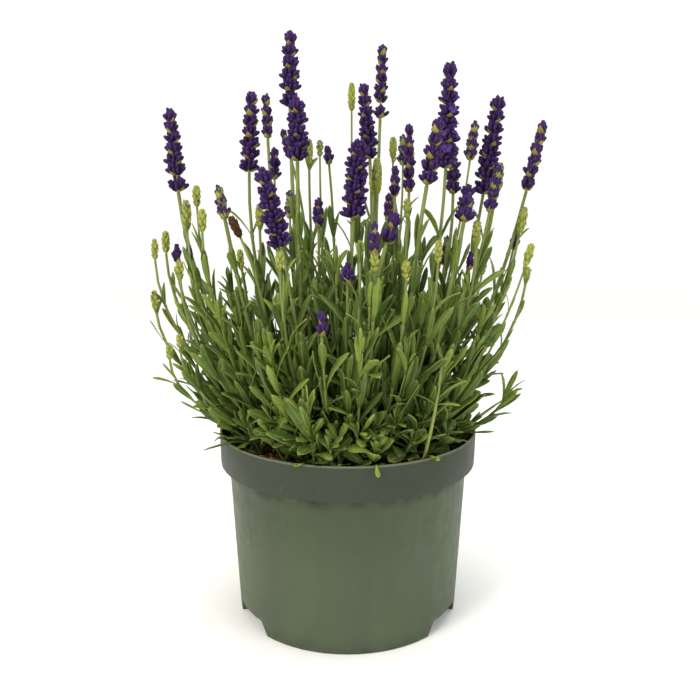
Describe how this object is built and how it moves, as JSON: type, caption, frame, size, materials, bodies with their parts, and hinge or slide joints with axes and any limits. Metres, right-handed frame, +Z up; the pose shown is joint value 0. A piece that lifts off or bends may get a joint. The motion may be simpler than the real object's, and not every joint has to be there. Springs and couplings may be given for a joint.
{
  "type": "potted lavender",
  "caption": "Flowering lavender plant in a round moulded nursery pot: soil, woody crown, square stems with violet spikes, green buds and leafy shoots.",
  "frame": {"origin": "on the pot's axis, at the level of the ground that the pot stands on", "axes": "+Z up the pot's axis, -Y towards the front, where the middle of a foot of the pot is, +X to the right seen from the front"},
  "size_m": [0.2753, 0.2206, 0.4264],
  "materials": {
    "pot_plastic": "sage green moulded polypropylene, satin, lightly scuffed",
    "peat_soil": "dark damp peat with flecks of perlite and bark",
    "old_wood": "grey brown fissured bark",
    "green_stem": "matte grey green, square, finely hairy",
    "violet_flowers": "velvety violet calyces and petals",
    "green_buds": "matte yellow green shut buds",
    "leaves": "narrow satin green leaves with a pale midrib"
  },
  "bodies": {
    "root": {"nursery_pot": "pot_plastic", "potting_soil": "peat_soil", "woody_crown": "old_wood", "flower_stem_01": "green_stem", "flower_spike_01": "violet_flowers", "flower_stem_02": "green_stem", "flower_spike_02": "violet_flowers", "flower_stem_03": "green_stem", "flower_spike_03": "violet_flowers", "flower_stem_04": "green_stem", "flower_spike_04": "violet_flowers", "flower_stem_05": "green_stem", "flower_spike_05": "violet_flowers", "flower_stem_06": "green_stem", "flower_spike_06": "violet_flowers", "flower_stem_07": "green_stem", "flower_spike_07": "violet_flowers", "flower_stem_08": "green_stem", "flower_spike_08": "violet_flowers", "flower_stem_09": "green_stem", "flower_spike_09": "violet_flowers", "flower_stem_10": "green_stem", "flower_spike_10": "violet_flowers", "flower_stem_11": "green_stem", "flower_spike_11": "violet_flowers", "flower_stem_12": "green_stem", "flower_spike_12": "violet_flowers", "flower_stem_13": "green_stem", "flower_spike_13": "violet_flowers", "flower_stem_14": "green_stem", "flower_spike_14": "violet_flowers", "flower_stem_15": "green_stem", "flower_spike_15": "violet_flowers", "flower_stem_16": "green_stem", "flower_spike_16": "violet_flowers", "flower_stem_17": "green_stem", "flower_spike_17": "violet_flowers", "flower_stem_18": "green_stem", "flower_spike_18": "violet_flowers", "bud_stem_01": "green_stem", "bud_head_01": "green_buds", "bud_stem_02": "green_stem", "bud_head_02": "green_buds", "bud_stem_03": "green_stem", "bud_head_03": "green_buds", "bud_stem_04": "green_stem", "bud_head_04": "green_buds", "bud_stem_05": "green_stem", "bud_head_05": "green_buds", "leafy_shoot_01": "leaves", "leafy_shoot_02": "leaves", "leafy_shoot_03": "leaves", "leafy_shoot_04": "leaves", "leafy_shoot_05": "leaves", "leafy_shoot_06": "leaves", "leafy_shoot_07": "leaves", "leafy_shoot_08": "leaves", "leafy_shoot_09": "leaves", "leafy_shoot_10": "leaves", "leafy_shoot_11": "leaves"}
  },
  "joints": []
}
